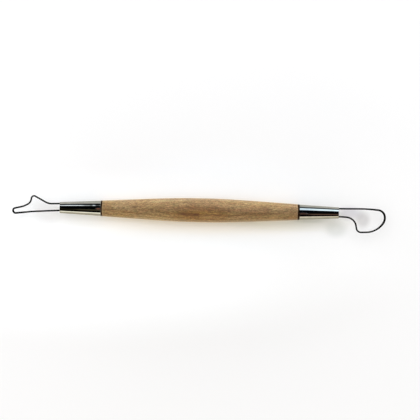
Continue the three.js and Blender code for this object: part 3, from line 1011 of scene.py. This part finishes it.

# %% [markdown]
# The ferrules are plated and polished, so they are a light grey metal with little roughness. Real plating
# isn't a perfect mirror: polishing leaves fine lines round the tube, the pressed sheet is faintly wavy, and
# fingers dull it in patches. Old clay and polish make a dark line in the seam against the wood. A reddish
# painted reflection lies beside the left lip, with a thin one beside the right one, and soft spots of
# painted shade darken some of what the metal mirrors.

# %% Plating
POLISHED_LINES = {"Length": 4 * MM, "Width": 0.05 * MM, "Contrast": 1.0}
METAL, METAL_SMUDGED = (0.64, 0.64, 0.64, 1), (0.56, 0.56, 0.55, 1)
SEAM_COLOUR, REFLECTION_COLOUR = (0.05, 0.02, 0.006, 1), (0.155, 0.065, 0.04, 1)
SEAM_LEFT, SEAM_RIGHT = FERRULE_START + 0.16, FERRULE_START + 0.40  # where the dark seam starts to fade
SEAM_FADE = 0.2
ROLLED_RADIUS = 3.6 * MM  # turns the angle round the tube into a distance
PAINTED_REFLECTIONS = [  # centre and reach as for the stains, and how strong the painted reflection is
    ((-55.2, -0.3, 4), (1.9, 0.65, 2), 1.0),
    ((56.0, -0.68, 4), (3.4, 0.5, 2), 0.35),
]
# painted shade: soft spots that darken parts of what the metal mirrors
MIRROR_SHADE = [  # as for the paper: centre, reach and tint
    ((-55.8, 1.5), (2.0, 1.1), (0.10, 0.10, 0.10)),
    ((-54.4, 1.5), (1.2, 1.1), (0.35, 0.35, 0.34)),
    ((-59.1, 1.5), (1.2, 1.1), (0.40, 0.40, 0.39)),
    ((-60.8, 1.5), (4.6, 1.1), (0.45, 0.45, 0.44)),
    ((-62.5, 1.9), (8.5, 0.5), (0.45, 0.45, 0.45)),
    ((-71.9, -0.9), (8.0, 1.2), (0.30, 0.32, 0.26)),
    ((57.3, 1.6), (6.5, 0.9), (0.78, 0.80, 0.84)),
    ((56.7, -1.45), (6.0, 0.75), (0.18, 0.14, 0.12)),
]


def plating_material():
    material, tree = new_material("plated_metal")
    place = from_axis(tree)
    parts = put(tree, "SeparateXYZ", {0: place}).outputs
    angle = sums(tree, "ARCTAN2", parts["Y"], parts["Z"])
    rolled = put(tree, "CombineXYZ", {0: times(tree, angle, ROLLED_RADIUS), 1: parts["X"]}).outputs[0]
    polish = use_group(tree, FINE_LINES, {"Vector": rolled, **POLISHED_LINES})
    smudges = use_group(tree, SMUDGES, {"Vector": place, "Size": 3 * MM})
    waves = put(tree, "TexNoise", {"Vector": place, "Scale": 260.0, "Detail": 1.0}).outputs["Fac"]
    along = sums(tree, "ABSOLUTE", parts["X"])
    seam_end = span(tree, parts["X"], -MM, MM, SEAM_LEFT * MM, SEAM_RIGHT * MM)
    seam = span(tree, sums(tree, "SUBTRACT", along, seam_end), 0.0, SEAM_FADE * MM, 1.0, 0.0, soft=True)
    # the soft spots paint shade into the metal's reflection
    colour = tint_spots(tree, place, mixed(tree, smudges, METAL, METAL_SMUDGED), MIRROR_SHADE)
    colour = mixed(tree, seam, colour, SEAM_COLOUR)
    # painted reddish reflections beside the lips, as a colour that is not metal
    reflection_mask = 0.0
    for centre, reach, reflection_level in PAINTED_REFLECTIONS:
        reflection_spot = times(tree, blot(tree, place, centre, reach), reflection_level)
        reflection_mask = sums(tree, "MAXIMUM", reflection_mask, reflection_spot)
    colour = mixed(tree, span(tree, reflection_mask, 0.0, 0.3), colour, REFLECTION_COLOUR)
    rough = sums(tree, "ADD", span(tree, polish, 0.0, 1.0, 0.01, 0.03), times(tree, smudges, 0.03))
    rough = sums(tree, "ADD", rough, times(tree, seam, 0.35))
    relief = sums(tree, "ADD", times(tree, polish, 0.02), waves)
    metal_share = sums(tree, "SUBTRACT", 1.0, reflection_mask)
    return finish_solid(material, colour, rough, relief, 0.2, 0.04, {"Metallic": metal_share})


plating = plating_material()
for ferrule in ferrules.values():
    ferrule.data.materials.append(plating)

# %% [markdown]
# Spring wire is drawn through a die, which leaves fine lines along it, and its tempering leaves it a dark
# grey. The lines have to follow the bends, so each corner of the mesh remembers how far along the wire it
# is and where it lies across it. The material reads this attribute instead of plain coordinates.

# %% Places along the wire, stored on the mesh
def remember_places(wire):
    """Stores on each corner its distance along the wire, and across and up from the wire's middle."""
    corners, middles, _, across = wire_sections(wire)
    along = np.concatenate([[0], np.cumsum(np.linalg.norm(np.diff(middles, axis=0), axis=1))])
    up = corners[..., 2] - middles[:, None, 2]
    places = np.stack([np.broadcast_to(along[:, None], up.shape), across, up], axis=2)
    store = wire.data.attributes.new("wire_place", "FLOAT_VECTOR", "POINT")
    store.data.foreach_set("vector", places.ravel())
    print(wire.name, len(corners), "rings,", round(float(along[-1]) / MM, 1), "mm of wire")


for wire in wires.values():
    remember_places(wire)


# %% Spring steel
STEEL, STEEL_TEMPERED = (0.034, 0.034, 0.036, 1), (0.022, 0.020, 0.018, 1)
DRAWN_LINES = {"Length": 5 * MM, "Width": 0.05 * MM, "Contrast": 1.2}


def spring_steel_material():
    material, tree = new_material("spring_steel")
    place = put(tree, "Attribute", attribute_name="wire_place").outputs["Vector"]
    drawn = use_group(tree, FINE_LINES, {"Vector": place, **DRAWN_LINES})
    tinted = use_group(tree, SMUDGES, {"Vector": place, "Size": 4 * MM})
    colour = mixed(tree, tinted, STEEL, STEEL_TEMPERED)
    colour = multiplied(tree, colour, span(tree, drawn, 0.0, 1.0, 0.8, 1.25))
    rough = sums(tree, "ADD", span(tree, drawn, 0.0, 1.0, 0.30, 0.40), times(tree, tinted, 0.08))
    return finish_solid(material, colour, rough, drawn, 0.3, 0.01, {"Metallic": 1.0})


spring_steel = spring_steel_material()
for wire in wires.values():
    wire.data.materials.append(spring_steel)

# %% [markdown]
# The glue is a hard amber resin. It is glossy where it set against the air and cloudy inside, with a little
# dust pressed into it, so its colour changes in soft patches and its surface has a low, uneven relief.

# %% Glue
AMBER, AMBER_CLOUDY, DUST_IN_GLUE = (0.36, 0.22, 0.08, 1), (0.50, 0.36, 0.17, 1), (0.16, 0.11, 0.06, 1)
GLUE_GLOW = (0.8 * MM, 0.4 * MM, 0.2 * MM)  # how deep red, green and blue light gets into it


def glue_material():
    material, tree = new_material("amber_glue")
    place = put(tree, "TexCoord").outputs["Object"]
    cloudy = use_group(tree, SMUDGES, {"Vector": place, "Size": 1.2 * MM})
    dust_and_sheen = use_group(tree, SMUDGES, {"Vector": place, "Size": 0.25 * MM})
    colour = mixed(tree, cloudy, AMBER, AMBER_CLOUDY)
    colour = mixed(tree, times(tree, dust_and_sheen, 0.25), colour, DUST_IN_GLUE)
    rough = span(tree, dust_and_sheen, 0.0, 1.0, 0.18, 0.42)
    relief = sums(tree, "ADD", cloudy, times(tree, dust_and_sheen, 0.3))
    inside = {"Subsurface Weight": 0.2, "Subsurface Radius": GLUE_GLOW}
    coat = {"Coat Weight": 0.4, "Coat Roughness": 0.08}
    return finish_solid(material, colour, rough, relief, 0.5, 0.05, {**inside, **coat})


amber_glue = glue_material()
for glue in glues.values():
    glue.data.materials.append(amber_glue)

# %% [markdown]
# The solids are now replaced. Each new piece rides on the tool's only body and stands in for its solid,
# which is hidden.

# %% Finish: pieces ride on the body and stand for their solids
for piece, node, slot in [
    (handle, "handle", "raw_wood"),
    (ferrules["pointed"], "pointed_end_ferrule", "plated_metal"),
    (ferrules["rounded"], "rounded_end_ferrule", "plated_metal"),
    (wires["pointed"], "pointed_loop", "spring_steel"),
    (wires["rounded"], "rounded_loop", "spring_steel"),
    (glues["pointed"], "pointed_end_glue", "clear_glue"),
    (glues["rounded"], "rounded_end_glue", "clear_glue"),
]:
    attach(piece, "root")
    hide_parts(node)
